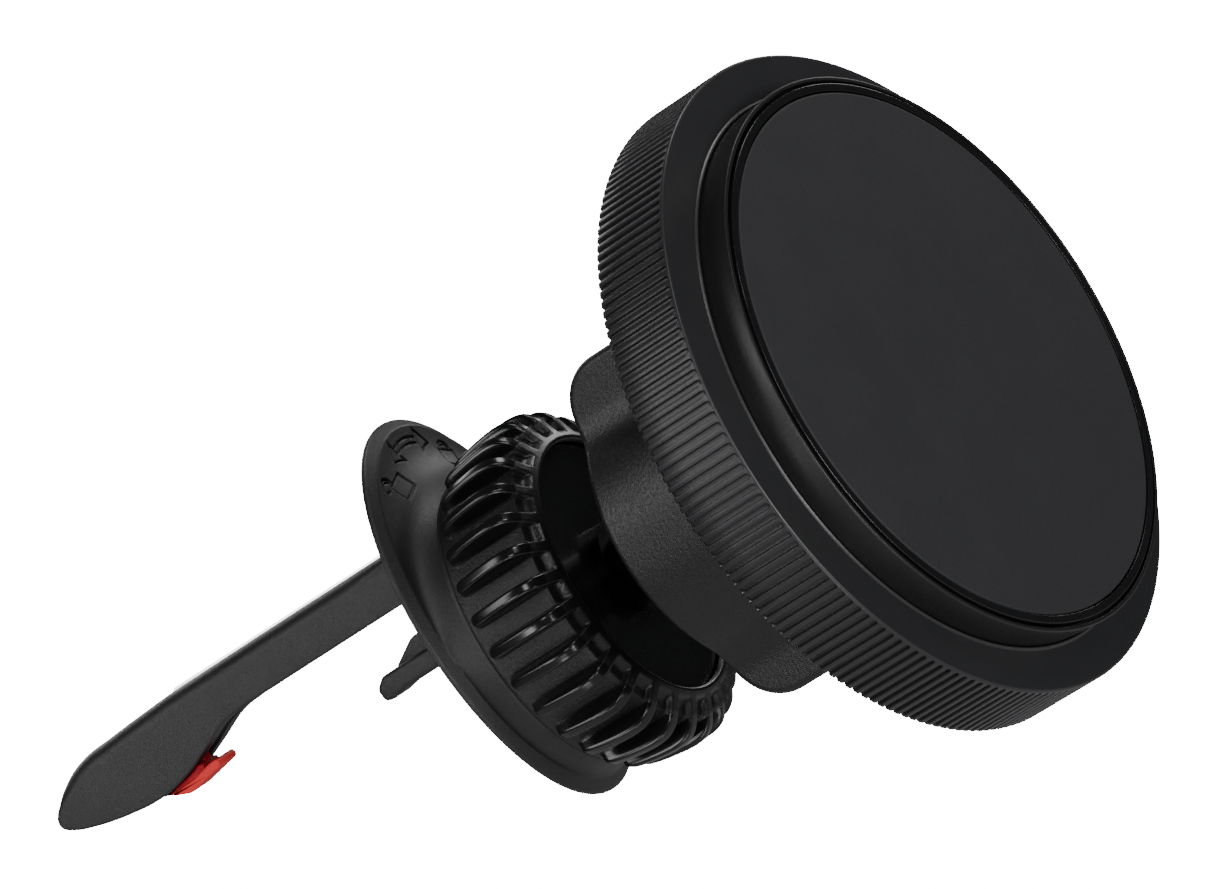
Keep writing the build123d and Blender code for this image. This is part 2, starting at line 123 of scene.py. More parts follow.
def rounded(corners, steps=5):
    """Closed outline through (x, y, radius) corners, each rounded by its radius."""
    outline = []
    count = len(corners)
    for i, (x, y, radius) in enumerate(corners):
        here = Vector((x, y))
        before = Vector(corners[i - 1][:2]) - here
        after = Vector(corners[(i + 1) % count][:2]) - here
        if radius == 0:
            outline.append((x, y))
            continue
        turn = before.angle(after)
        reach = min(radius / tan(turn / 2), 0.49 * before.length, 0.49 * after.length)
        start = here + before.normalized() * reach
        end = here + after.normalized() * reach
        for k in range(steps + 1):
            t = k / steps
            # quadratic curve, close to an arc for these short roundings
            point = start * (1 - t) ** 2 + here * 2 * t * (1 - t) + end * t ** 2
            outline.append((point.x, point.y))
    return outline


def lathe(name, outline_at, place, angles, sharp_angle=34):
    """Ring-shaped solid: at each angle a closed outline of (depth, radius) points."""
    verts, faces = [], []
    for angle in angles:
        for depth, radius in outline_at(angle):
            verts.append(place(depth, radius * cos(angle), radius * sin(angle)))
    turns = len(angles)
    count = len(verts) // turns
    for i in range(turns):
        j = (i + 1) % turns
        for k in range(count):
            m = (k + 1) % count
            faces.append((i * count + k, j * count + k, j * count + m, i * count + m))
    return finish_mesh(name, verts, faces, sharp_angle)


AXIS = 0.01  # a turned solid's outline stops this close to its axis


def even_angles(count):
    return [2 * pi * i / count for i in range(count)]


def turned(name, corners, place, segments=256, sharp_angle=34):
    """Plain solid of revolution with rounded corners, from (depth, radius, rounding) corners."""
    outline = rounded(corners)
    return lathe(name, lambda angle: outline, place, even_angles(segments), sharp_angle)


def join(name, parts):
    """Several meshes as one piece."""
    with bpy.context.temp_override(active_object=parts[0], selected_editable_objects=parts):
        bpy.ops.object.join()
    parts[0].name = name
    return parts[0]


def prism(name, outline, low, high, place):
    """Straight prism of a closed 2D outline between two depths."""
    count = len(outline)
    verts = [place(low, *p) for p in outline] + [place(high, *p) for p in outline]
    faces = [tuple(range(count)), tuple(range(2 * count - 1, count - 1, -1))]
    for i in range(count):
        j = (i + 1) % count
        faces.append((i, j, count + j, count + i))
    return finish_mesh(name, verts, faces)


def cut(target, cutter):
    """Takes one closed mesh away from another; the cutter is used up."""
    modifier = target.modifiers.new("cut", "BOOLEAN")
    modifier.operation = "DIFFERENCE"
    modifier.solver = "EXACT"
    modifier.object = cutter
    bpy.context.view_layer.update()
    depsgraph = bpy.context.evaluated_depsgraph_get()
    result = bpy.data.meshes.new_from_object(target.evaluated_get(depsgraph))
    target.modifiers.clear()
    target.data = result
    bpy.data.objects.remove(cutter)


def smoothstep(low, high, value):
    """Smooth rise from 0 at the low value to 1 at the high one."""
    t = min(1.0, max(0.0, (value - low) / (high - low)))
    return t * t * (3 - 2 * t)


def interpolate(points, x):
    """Smooth height of a profile of (x, y) points at x."""
    if x <= points[0][0]:
        return points[0][1]
    for i in range(len(points) - 1):
        (x0, y0), (x1, y1) = points[i], points[i + 1]
        if x <= x1:
            slope0 = (y1 - points[max(i - 1, 0)][1]) / (x1 - points[max(i - 1, 0)][0])
            last = points[min(i + 2, len(points) - 1)]
            slope1 = (last[1] - y0) / (last[0] - x0)
            t, h = (x - x0) / (x1 - x0), x1 - x0
            return (y0 * (2 * t**3 - 3 * t**2 + 1) + slope0 * h * (t**3 - 2 * t**2 + t)
                    + y1 * (3 * t**2 - 2 * t**3) + slope1 * h * (t**3 - t**2))
    return points[-1][1]


# ---------------------------------------------------------------- materials
def new_material(name):
    material = bpy.data.materials.new(name)
    material.use_nodes = True
    return material, material.node_tree, material.node_tree.nodes["Principled BSDF"]


def noise(tree, scale, detail=2.0, rough=0.5, stretch=None):
    """Noise texture on the object's own coordinates; scale is in cycles per metre."""
    where = tree.nodes.new("ShaderNodeTexCoord")
    texture = tree.nodes.new("ShaderNodeTexNoise")
    texture.inputs["Scale"].default_value = scale
    texture.inputs["Detail"].default_value = detail
    texture.inputs["Roughness"].default_value = rough
    if stretch:
        mapping = tree.nodes.new("ShaderNodeMapping")
        mapping.inputs["Scale"].default_value = stretch
        tree.links.new(where.outputs["Object"], mapping.inputs["Vector"])
        tree.links.new(mapping.outputs["Vector"], texture.inputs["Vector"])
    else:
        tree.links.new(where.outputs["Object"], texture.inputs["Vector"])
    return texture.outputs["Fac"]


def spread(tree, source, low, high, start=0.3, end=0.7):
    """Maps a value between start and end onto the range from low to high."""
    node = tree.nodes.new("ShaderNodeMapRange")
    node.inputs["From Min"].default_value = start
    node.inputs["From Max"].default_value = end
    node.inputs["To Min"].default_value = low
    node.inputs["To Max"].default_value = high
    tree.links.new(source, node.inputs["Value"])
    return node.outputs["Result"]


def tint(tree, source, dark, light, start=0.35, end=0.65):
    """Colour between two tones by a 0 to 1 value."""
    ramp = tree.nodes.new("ShaderNodeValToRGB")
    ramp.color_ramp.elements[0].position = start
    ramp.color_ramp.elements[0].color = (*dark, 1)
    ramp.color_ramp.elements[1].position = end
    ramp.color_ramp.elements[1].color = (*light, 1)
    tree.links.new(source, ramp.inputs["Fac"])
    return ramp.outputs["Color"]


def bump(tree, source, strength, distance, below=None):
    node = tree.nodes.new("ShaderNodeBump")
    node.inputs["Strength"].default_value = strength
    node.inputs["Distance"].default_value = distance
    tree.links.new(source, node.inputs["Height"])
    if below:
        tree.links.new(below, node.inputs["Normal"])
    return node.outputs["Normal"]


def moulded(name, dark, light, rough, grain, relief, gloss=0.5, waves=0.0):
    """Moulded plastic or rubber: spark-eroded grain, faint colour and gloss variation."""
    material, tree, shader = new_material(name)
    low, high = rough
    blotch = noise(tree, 140, 3)
    fine = noise(tree, grain, 2, 0.6)
    tree.links.new(tint(tree, blotch, dark, light), shader.inputs["Base Color"])
    tree.links.new(spread(tree, fine, low, high), shader.inputs["Roughness"])
    shader.inputs["Specular IOR Level"].default_value = gloss
    normal = bump(tree, fine, 0.6, relief)
    if waves:
        normal = bump(tree, noise(tree, 260, 1), 0.5, waves, normal)
    tree.links.new(normal, shader.inputs["Normal"])
    return material


def metal(name, dark, light, rough):
    """Metal with fine drawn lines along y."""
    material, tree, shader = new_material(name)
    streak = noise(tree, 3000, 3, 0.55, (1, 0.03, 1))
    cloud = noise(tree, 160, 2)
    tree.links.new(tint(tree, cloud, dark, light), shader.inputs["Base Color"])
    tree.links.new(spread(tree, streak, *rough), shader.inputs["Roughness"])
    shader.inputs["Metallic"].default_value = 1.0
    tree.links.new(bump(tree, streak, 0.35, 0.00002), shader.inputs["Normal"])
    return material


def black(level, blue=1.08):
    """Near-black with a slightly cool cast."""
    return (level, level, level * blue)


def centre_distance(tree, kept):
    """Distance from the frame's origin along the kept axes."""
    where = tree.nodes.new("ShaderNodeTexCoord")
    flatten = tree.nodes.new("ShaderNodeVectorMath")
    flatten.operation = "MULTIPLY"
    flatten.inputs[1].default_value = kept
    length = tree.nodes.new("ShaderNodeVectorMath")
    length.operation = "LENGTH"
    tree.links.new(where.outputs["Object"], flatten.inputs[0])
    tree.links.new(flatten.outputs["Vector"], length.inputs[0])
    return length.outputs["Value"]


def calculate(tree, operation, first, second):
    node = tree.nodes.new("ShaderNodeMath")
    node.operation = operation
    tree.links.new(first, node.inputs[0])
    tree.links.new(second, node.inputs[1])
    return node.outputs["Value"]


def ribbed_gloss():
    """Glossy ribs round the nut's axis, with grain on the floors between them."""
    material, tree, shader = new_material("ribbed_gloss")
    radius = centre_distance(tree, (1, 0, 1))
    # 1 on the floors, 0 on the ribs and partly on the nut's front
    inside = spread(tree, radius, 0.35, 1, 0.015, 0.0163)
    outside = spread(tree, radius, 1, 0, 0.0165, 0.0168)
    floor = calculate(tree, "MINIMUM", inside, outside)
    fine = noise(tree, 4000, 2, 0.6)
    tree.links.new(tint(tree, noise(tree, 140, 3), black(0.007), black(0.009)), shader.inputs["Base Color"])
    tree.links.new(spread(tree, floor, 0.2, 0.46, 0, 1), shader.inputs["Roughness"])
    relief = calculate(tree, "MULTIPLY", fine, spread(tree, floor, 0.02, 1.0, 0, 1))
    tree.links.new(bump(tree, relief, 0.7, 0.00012), shader.inputs["Normal"])
    return material


def red_with_painted_shade():
    """Soft red with painted shade: deep crimson painted on the upper part as the shade under the hook's
    sides, lighter coral on the lip and tongue below.
    """
    material, tree, shader = new_material("red_silicone")
    where = tree.nodes.new("ShaderNodeTexCoord")
    height = tree.nodes.new("ShaderNodeVectorMath")
    height.operation = "DOT_PRODUCT"
    height.inputs[1].default_value = (0, 0.125, 1)
    tree.links.new(where.outputs["Object"], height.inputs[0])
    # painted shade: above a set height the colour turns from coral to crimson, standing in for the shade
    # under the hook's sides
    share = spread(tree, height.outputs["Value"], 0, 1, 0.01, 0.01035)
    coral, painted_shade_crimson = (0.72, 0.03, 0.03), (0.36, 0.0, 0.012)
    tree.links.new(tint(tree, share, coral, painted_shade_crimson, 0.0, 1.0), shader.inputs["Base Color"])
    fine = noise(tree, 2600, 2, 0.6)
    tree.links.new(spread(tree, fine, 0.45, 0.6), shader.inputs["Roughness"])
    shader.inputs["Specular IOR Level"].default_value = 0.25
    tree.links.new(bump(tree, fine, 0.4, 0.00002), shader.inputs["Normal"])
    return material


materials = {
    "housing": moulded("housing_grain", black(0.009), black(0.011), (0.34, 0.48), 2800, 0.00006),
    "base": moulded("base_grain", black(0.010), black(0.013), (0.4, 0.52), 5000, 0.00006),
    "platform": moulded("platform_satin", black(0.008), black(0.010), (0.34, 0.44), 6500, 0.00001),
    "ribbed": ribbed_gloss(),
    "gloss": moulded("satin_black", black(0.007), black(0.009), (0.17, 0.24), 3000, 0.000001, waves=0.000002),
    "ring": moulded("ring_satin", black(0.019), black(0.021), (0.32, 0.4), 4200, 0.00001),
    "pad": moulded("soft_touch", black(0.025), black(0.027), (0.55, 0.66), 6500, 0.00003, 0.3),
    "hook": moulded("hook_satin", black(0.011), black(0.014), (0.4, 0.5), 5200, 0.00005),
    "cushion": moulded("cushion_foam", black(0.012), black(0.018), (0.7, 0.85), 3600, 0.00004, 0.3),
    "red": red_with_painted_shade(),
    "nylon": moulded("nylon", (0.62, 0.61, 0.57), (0.7, 0.69, 0.65), (0.35, 0.5), 2400, 0.00002),
    "board": moulded("solder_mask", (0.01, 0.09, 0.035), (0.015, 0.12, 0.05), (0.25, 0.4), 900, 0.00002),
    "ferrite": moulded("ferrite", black(0.03, 1.0), black(0.045, 1.0), (0.5, 0.7), 1800, 0.00004),
    "spine": metal("stamped_steel", (0.6, 0.6, 0.61), (0.7, 0.7, 0.71), (0.14, 0.24)),
    "stud": metal("black_steel", (0.01, 0.01, 0.011), (0.016, 0.016, 0.017), (0.35, 0.5)),
    "screw": metal("black_oxide", (0.06, 0.06, 0.062), (0.1, 0.1, 0.1), (0.3, 0.5)),
    "nickel": metal("nickel", (0.58, 0.56, 0.52), (0.68, 0.66, 0.62), (0.12, 0.25)),
    "copper": metal("copper_wire", (0.6, 0.24, 0.12), (0.75, 0.34, 0.18), (0.25, 0.4)),
    "brass": metal("brass", (0.6, 0.42, 0.16), (0.72, 0.52, 0.22), (0.2, 0.35)),
}


def paint(piece, material):
    piece.data.materials.clear()
    piece.data.materials.append(materials[material])


def add_piece(piece, body, replaced, material):
    """Puts a finished piece on its body in place of the CAD nodes it stands for."""
    paint(piece, material)
    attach(piece, body)
    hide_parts(*replaced)


# ---------------------------------------------------------------- round parts of the head
PAD_THICKNESS = 1.0
PAD_GAP = 0.15
BEZEL_SINK = 0.03
BEZEL_BACK = 1.2
GROOVE_WIDTH = 0.38
HEAD_SEGMENTS = 360


def build_touch_pad():
    pad = turned("pad_face", [
        (0, AXIS, 0), (0, PAD_RADIUS, 0.3), (PAD_THICKNESS, PAD_RADIUS, 0), (PAD_THICKNESS, AXIS, 0)],
        head_point, HEAD_SEGMENTS)
    add_piece(pad, "head", ["touch_pad"], "pad")


def build_bezel():
    inner = PAD_RADIUS + PAD_GAP
    bezel = turned("pad_bezel_ring", [
        (BEZEL_BACK, inner, 0), (BEZEL_SINK, inner, 0.06), (BEZEL_SINK, BEZEL_RADIUS, 0.12),
        (BEZEL_BACK, BEZEL_RADIUS, 0)], head_point, HEAD_SEGMENTS)
    add_piece(bezel, "head", ["pad_bezel"], "gloss")


PLATFORM_RADIUS = SHELL_RADIUS - 3.2
PLATFORM_FOOT = SHELL_RADIUS - 3.6
PLATFORM_SINK = 0.15
FLANGE_FRONT = 5.45
FLANGE_BACK = 7.0
CAVITY_RADIUS = 28.2
CAVITY_FRONT = 2.6
POST_COUNT = 4
POST_CIRCLE = 29.9
POST_RADIUS = 1.7
POST_BORE = 0.8
POST_BACK = 11.0


def build_front_housing():
    seat = PAD_RADIUS + 0.05
    groove = BEZEL_RADIUS + GROOVE_WIDTH
    shell = turned("platform", [
        (PAD_THICKNESS, AXIS, 0), (PAD_THICKNESS, seat, 0), (BEZEL_BACK, seat, 0), (BEZEL_BACK, groove, 0),
        (PLATFORM_SINK, groove, 0.08), (PLATFORM_SINK, PLATFORM_RADIUS, 0.28),
        (FLANGE_FRONT, PLATFORM_FOOT, 0.1), (FLANGE_FRONT, SHELL_RADIUS, 0.1),
        (FLANGE_BACK, SHELL_RADIUS, 0), (FLANGE_BACK, CAVITY_RADIUS, 0),
        (CAVITY_FRONT, CAVITY_RADIUS, 0.3), (CAVITY_FRONT, AXIS, 0)], head_point, HEAD_SEGMENTS)
    posts = [shell]
    for i in range(POST_COUNT):
        angle = 2 * pi * (i + 0.5) / POST_COUNT
        centre = (POST_CIRCLE * cos(angle), POST_CIRCLE * sin(angle))

        def post_point(depth, across, up, centre=centre):
            return head_point(depth, across + centre[0], up + centre[1])

        posts.append(turned(f"post_{i}", [
            (FLANGE_BACK - 0.1, POST_BORE, 0), (POST_BACK, POST_BORE, 0.1), (POST_BACK, POST_RADIUS, 0.1),
            (FLANGE_BACK - 0.1, POST_RADIUS, 0)], post_point, 32))
    add_piece(join("platform", posts), "head", ["front_housing"], "platform")


RIDGES = 196
RING_FRONT = 3.95
RING_BACK = 13.0
RING_SEAT = 5.4
RIM = 0.28
RIM_STEPS = 5
RIDGE_HEIGHT = 0.4
GROOVE_START = 4.22
RING_TOP = RING_RADIUS - 0.02


def knurled_radius(angle, depth):
    """Ring's radius, with a ridge's top at each whole place round it."""
    place = angle * RIDGES / (2 * pi)
    away = abs(place - round(place))
    # each groove starts with a round end just behind the front edge
    lead = 0.3 * (1 - sqrt(max(0.0, 1 - (min(1.0, abs(0.5 - away) / 0.24)) ** 2)))
    start = GROOVE_START + lead
    groove = smoothstep(0.215, 0.285, away) * smoothstep(start, start + 0.2, depth)
    back = 0.25 * smoothstep(RING_BACK - 0.3, RING_BACK, depth)
    return RING_TOP - groove * RIDGE_HEIGHT - back


def build_ring():
    # points across one ridge and along it, closest together where the surface bends
    steps = [0, 0.2, 0.222, 0.25, 0.278, 0.3, 0.5, 0.7, 0.722, 0.75, 0.778, 0.8]
    angles = [2 * pi * (i + step) / RIDGES for i in range(RIDGES) for step in steps]
    depths = [4.27, 4.32, 4.38, 4.44, 4.5, 4.58, 4.66, 4.76, 4.88, 5.2, 7.5, 10, 12.6, 12.8, 12.96]
    inner = PLATFORM_FOOT + 0.2
    seat = SHELL_RADIUS + 0.05
    turns = [pi / 2 * k / RIM_STEPS for k in range(RIM_STEPS + 1)]
    rim = [(RING_FRONT + RIM * (1 - cos(turn)), RING_TOP - RIM * (1 - sin(turn))) for turn in turns]
    # the inner edge stands up in a fine bead, as (depth, distance from the edge)
    bead = [(3.92, 0), (3.82, 0.04), (3.78, 0.12), (3.77, 0.17), (3.8, 0.24), (3.88, 0.31)]

    def outline(angle):
        points = [(RING_SEAT, inner)]
        points += [(depth, inner + out) for depth, out in bead]
        points += [(RING_FRONT, inner + 0.38), (RING_FRONT, rim[0][1] - 0.15)] + rim
        points += [(depth, knurled_radius(angle, depth)) for depth in depths]
        points += [(RING_BACK, RING_RADIUS - 0.6), (RING_BACK, seat), (RING_SEAT, seat)]
        return points

    ring = lathe("ring_knurl", outline, head_point, angles, 30)
    add_piece(ring, "head", ["knurled_ring"], "ring")


# ---------------------------------------------------------------- tightening nut
RIBS = 30
RIB_PITCH = 2 * pi / RIBS
RIB_MIDDLE = 17.5
RIB_HALF_TOP = 0.34
RIB_EDGE = 0.34
RIB_HALF_FOOT = 0.86
RIB_SHOULDER = 0.5
RIB_BACK = 5.9
NUT_SKIRT = 15.5
NUT_BORE = 14.65
COLLAR_RADIUS = 13.92
# profiles along the nut, as (depth, radius): over a rib's crest and over the floor between two ribs
CREST = [(4.4, 17.0), (5.3, 17.45), (6.2, 17.9), (8.5, 18.35), (10.9, 18.6), (12.3, 18.5), (13.1, 18.2),
         (13.8, 17.6), (14.4, 16.7), (15.0, 15.35), (15.35, 14.5)]
FLOOR = [(4.45, 16.3), (4.7, 16.4), (13.6, 16.4), (13.85, 16.3), (14.2, 15.55), (14.4, 15.35), (15.0, 15.05),
         (15.2, 14.9)]


def nut_radius(angle, depth):
    """Nut's radius: ribs with a flat top, rounded shoulders and a rounded rear end."""
    away = angle / RIB_PITCH - round(angle / RIB_PITCH)
    floor = FLOOR[-1][1]
    for (x0, y0), (x1, y1) in zip(FLOOR, FLOOR[1:]):
        if depth <= x1:
            floor = y0 + (y1 - y0) * max(0.0, (depth - x0) / (x1 - x0))
            break
    crest = max(floor, interpolate(CREST, depth))
    lateral = abs(away) * RIB_PITCH * RIB_MIDDLE
    beyond = max(0.0, RIB_BACK - depth)
    distance = hypot(lateral, beyond)
    edge = min(1.0, max(0.0, (distance - RIB_HALF_TOP) / RIB_EDGE))
    shoulder = 1 - (1 - RIB_SHOULDER) * (1 - sqrt(1 - edge * edge))
    share = shoulder * (1 - smoothstep(RIB_HALF_TOP + RIB_EDGE * 0.8, RIB_HALF_FOOT, distance))
    return floor + (crest - floor) * share


def build_nut():
    # points across one rib and along it, closest together where the surface bends
    laterals = [0, 0.2, 0.34, 0.44, 0.52, 0.58, 0.62, 0.66, 0.7, 0.75, 0.8, 0.86, 1.2, 1.5]
    near = [lateral / (RIB_PITCH * RIB_MIDDLE) for lateral in laterals]
    shares = near + [0.5] + [1 - share for share in near[:0:-1]]
    angles = [RIB_PITCH * (i + share) for i in range(RIBS) for share in shares]
    depths = [4.45, 4.6, 4.75, 4.85, 4.92, 4.99, 5.04, 5.08, 5.15, 5.25, 5.4, 5.55, 5.75, 6.0, 6.5, 7.2]
    depths += [8.0, 9.0, 10.0, 11.0, 11.8, 12.4, 12.8, 13.1, 13.35, 13.6, 13.72, 13.85, 14.0, 14.12]
    depths += [14.2, 14.3, 14.4, 14.6, 14.8, 15.0, 15.12, 15.2]
    front = NUT_FRONT
    collar = [(15.3, 14.6), (front - 0.04, 14.46), (front, 14.36), (front, 14.15), (front - 0.04, 14.02),
              (front - 0.12, 13.95), (front - 0.3, COLLAR_RADIUS), (14.8, COLLAR_RADIUS), (14.8, NUT_BORE)]

    def outline(angle):
        points = [(1.5, NUT_BORE), (1.5, NUT_SKIRT), (4.45, NUT_SKIRT)]
        points += [(depth, nut_radius(angle, depth)) for depth in depths]
        return points + collar

    nut = lathe("nut_ribbed", outline, nut_point, angles, 40)
    add_piece(nut, "nut", ["tightening_nut"], "ribbed")


CAP_BACK = 13.1
CAP_FLOOR = 13.9
CAP_RADIUS = 14.3
CAP_BORE = 2.5


def build_cap():
    """Dished disc inside the nut's front opening, with a bore for the stud."""
    cap = turned("nut_cap", [
        (CAP_BACK, CAP_BORE, 0), (CAP_FLOOR, CAP_BORE, 0), (CAP_FLOOR, 5.2, 0.1), (13.95, 6.5, 0.8),
        (14.4, 12.6, 1.2), (14.5, CAP_RADIUS, 0.12), (CAP_BACK, CAP_RADIUS, 0)], nut_point, 256)
    add_piece(cap, "clip_base", ["front_cap"], "gloss")


# ---------------------------------------------------------------- base plate
PLATE_HALF_WIDTH = 17.6
PLATE_HALF_HEIGHT = 21.4
PLATE_RISE = 3.5
RIM_FRONT = 0.45
BEVEL_INSET = 1.2
BEVEL_FRONT = 1.3
BEVEL_STEPS = 6
DISH_RISE = 0.35
DISH_STEPS = 92
BOSS_RADIUS = 16.3
BOSS_FRONT = 4.0
RECESS_RADIUS = 15.55
CORE_RADIUS = 7.2
WALL = 1.2
SLOT_HALF_WIDTH = 3.2
SLOT_LOW = 8.45
SLOT_HIGH = 14.45
PILLAR_RADIUS = 6.0
PILLAR_FLAT = 5.0
PILLAR_FRONT = 13.1
SINK = 0.08
LINE_SINK = 0.22
LINE_HALF = 0.11


def oval_radius(angle, inset):
    """Distance from the nut's axis to the plate's oval edge, moved inwards by an inset."""
    a, b = PLATE_HALF_WIDTH - inset, PLATE_HALF_HEIGHT - inset
    c, s = cos(angle), sin(angle)
    p = (c / a) ** 2 + (s / b) ** 2
    q = -PLATE_RISE * s / b**2
    return (-q + sqrt(q * q - p * (PLATE_RISE**2 / b**2 - 1))) / p


LOCK_HALF_WIDTH = 1.25
LOCK_HALF_HEIGHT = 0.85
LOCK_ROUNDING = 0.15
BOW_RADIUS = 0.78
BOW_HALF_WIRE = 0.2
LOCK_RADIUS = 19.6
LOCK_TURN = 18.5
ARROW_TOP = 22.2
ARROW_RADIUS = 7.5
ARROW_HALF_SHAFT = 0.36
ARROW_HALF_HEAD = 1.25
ARROW_NECK = 2.7
ARROW_TIP = 4.5
ICON_EDGE = 0.06
ICON_TURN = radians(32)
FINE_STEPS = 400
COARSE_STEPS = 200


def box_distance(x, z, half_width, half_height):
    """Signed distance to a rectangle round the origin."""
    dx, dz = abs(x) - half_width, abs(z) - half_height
    return hypot(max(dx, 0), max(dz, 0)) + min(max(dx, dz), 0)


def padlock_distance(x, z, side):
    """Signed distance to a padlock, open when it is on the left of the plate."""
    body = box_distance(x, z + 0.1, LOCK_HALF_WIDTH, LOCK_HALF_HEIGHT) - LOCK_ROUNDING
    if side < 0:
        centre, start = (-1.75, 1.1), 0.2
    else:
        centre, start = (0, 0.95), 0.0
    dx, dz = x - centre[0], z - centre[1]
    bow = abs(hypot(dx, dz) - BOW_RADIUS) - BOW_HALF_WIRE
    if dz < -start:
        bow = max(bow, -dz - start)
    return min(body, bow)


def arrow_distance(x, z):
    """Signed distance to a two-headed arrow, bent above the nut."""
    centre = ARROW_TOP - ARROW_RADIUS
    away = abs(hypot(x, z - centre) - ARROW_RADIUS)
    along = abs(atan2(x, z - centre)) * ARROW_RADIUS
    shaft = max(away - ARROW_HALF_SHAFT, along - ARROW_NECK)
    half = ARROW_HALF_HEAD * (ARROW_TIP - along) / (ARROW_TIP - ARROW_NECK)
    head = max(away - half, ARROW_NECK - along)
    return min(shaft, head)


def icon_depth(x, z):
    """How far the icons are sunk at a point of the plate's front: a shallow field in a deeper outline."""
    distance = arrow_distance(x, z)
    for side in (-1, 1):
        turn = radians(side * LOCK_TURN)
        across = x * cos(turn) - z * sin(turn)
        out = x * sin(turn) + z * cos(turn) - LOCK_RADIUS
        distance = min(distance, padlock_distance(across, out, side))
    inside = SINK * (1 - smoothstep(-ICON_EDGE, ICON_EDGE, distance))
    line = LINE_SINK * (1 - smoothstep(LINE_HALF - ICON_EDGE, LINE_HALF + ICON_EDGE, abs(distance)))
    return inside + line


def plate_angles():
    """Fine steps over the icons at the top, coarse ones elsewhere."""
    start, end = pi / 2 - ICON_TURN, pi / 2 + ICON_TURN
    fine = [start + (end - start) * i / FINE_STEPS for i in range(FINE_STEPS + 1)]
    rest = 2 * pi - (end - start)
    coarse = [end + rest * i / COARSE_STEPS for i in range(1, COARSE_STEPS)]
    return fine + coarse


def build_plate():
    inner = CORE_RADIUS - 0.2

    def outline(angle):
        edge = oval_radius(angle, 0)
        shoulder = oval_radius(angle, BEVEL_INSET)
        bevel_start = edge - 0.03
        points = [(0, inner), (0, edge - 0.15), (0.05, edge - 0.04), (0.15, edge), (0.35, edge),
                  (RIM_FRONT, bevel_start)]
        for i in range(1, BEVEL_STEPS + 1):
            t = i / BEVEL_STEPS
            depth = RIM_FRONT + (BEVEL_FRONT - RIM_FRONT) * t
            points.append((depth, bevel_start - (bevel_start - shoulder) * t))
        for i in range(1, DISH_STEPS + 1):
            t = i / DISH_STEPS
            radius = shoulder + (BOSS_RADIUS - shoulder) * t
            height = BEVEL_FRONT + DISH_RISE * t + (BOSS_FRONT - BEVEL_FRONT - DISH_RISE) * t ** 3.2
            # the icons end before the steep foot of the boss
            sunk = icon_depth(radius * cos(angle), radius * sin(angle)) if i < DISH_STEPS - 6 else 0
            points.append((height - sunk, radius))
        points += [(BOSS_FRONT, BOSS_RADIUS - 0.1), (BOSS_FRONT, RECESS_RADIUS), (WALL, RECESS_RADIUS),
                   (WALL, inner)]
        return points

    shell = lathe("plate_shell", outline, nut_point, plate_angles(), 50)
    cut(shell, prism("slot", slot_outline(SLOT_LOW, 0.4), -1, WALL + 0.2, nut_point))
    core = turned("plate_core", [
        (0, AXIS, 0), (0, CORE_RADIUS, 0), (WALL, CORE_RADIUS, 0), (WALL, AXIS, 0)], nut_point, 96)
    shell = join("plate_with_icons", [shell, core, keyed_pillar(), *build_lug()])
    shell.data.shade_smooth()
    shell.data.set_sharp_from_angle(angle=radians(40))
    add_piece(shell, "clip_base", ["base_plate"], "base")


def keyed_pillar():
    """Round pillar with a flat on its left and on its right."""
    reach = pi / 2 - acos(PILLAR_FLAT / PILLAR_RADIUS)
    steps = 32
    outline = []
    for side in (1, -1):
        for i in range(steps + 1):
            angle = reach * (2 * i / steps - 1) + side * pi / 2
            outline.append((PILLAR_RADIUS * cos(angle), PILLAR_RADIUS * sin(angle)))
    return prism("pillar", outline, WALL - 0.3, PILLAR_FRONT, nut_point)


def slot_outline(low, rounding):
    """Outline of the hook's opening, from a given height up."""
    return rounded([(-SLOT_HALF_WIDTH, low, rounding), (SLOT_HALF_WIDTH, low, rounding),
                    (SLOT_HALF_WIDTH, SLOT_HIGH, rounding), (-SLOT_HALF_WIDTH, SLOT_HIGH, rounding)])


# ---------------------------------------------------------------- shapes drawn on the hook's plane
def soft_slab(name, outline, rounding, half_low, half_high, steps=6):
    """Slab between two x planes whose rim is rounded by a radius given at each outline point.

    rounding(y, z) returns the radius on the low side and on the high side.
    """
    count = len(outline)
    inward = []
    for i in range(count):
        before, after = Vector(outline[i - 1]), Vector(outline[(i + 1) % count])
        along = (after - before).normalized()
        inward.append(Vector((-along.y, along.x)))
    area = sum(outline[i - 1][0] * outline[i][1] - outline[i][0] * outline[i - 1][1] for i in range(count))
    if area < 0:
        inward = [-v for v in inward]
    verts, rings = [], []
    for side, face in ((0, half_low), (1, half_high)):
        sign = -1 if side == 0 else 1
        turns = range(steps, -1, -1) if side == 0 else range(steps + 1)
        for k in turns:
            turn = pi / 2 * k / steps
            ring = []
            for (y, z), normal in zip(outline, inward):
                r = rounding(y, z)[side]
                point = Vector((y, z)) + normal * r * (1 - cos(turn))
                ring.append(len(verts))
                verts.append((face - sign * r * (1 - sin(turn)), point.x, point.y))
            rings.append(ring)
    faces = [tuple(rings[0]), tuple(reversed(rings[-1]))]
    for a, b in zip(rings, rings[1:]):
        for i in range(count):
            j = (i + 1) % count
            faces.append((a[i], a[j], b[j], b[i]))
    return finish_mesh(name, verts, faces, 50)


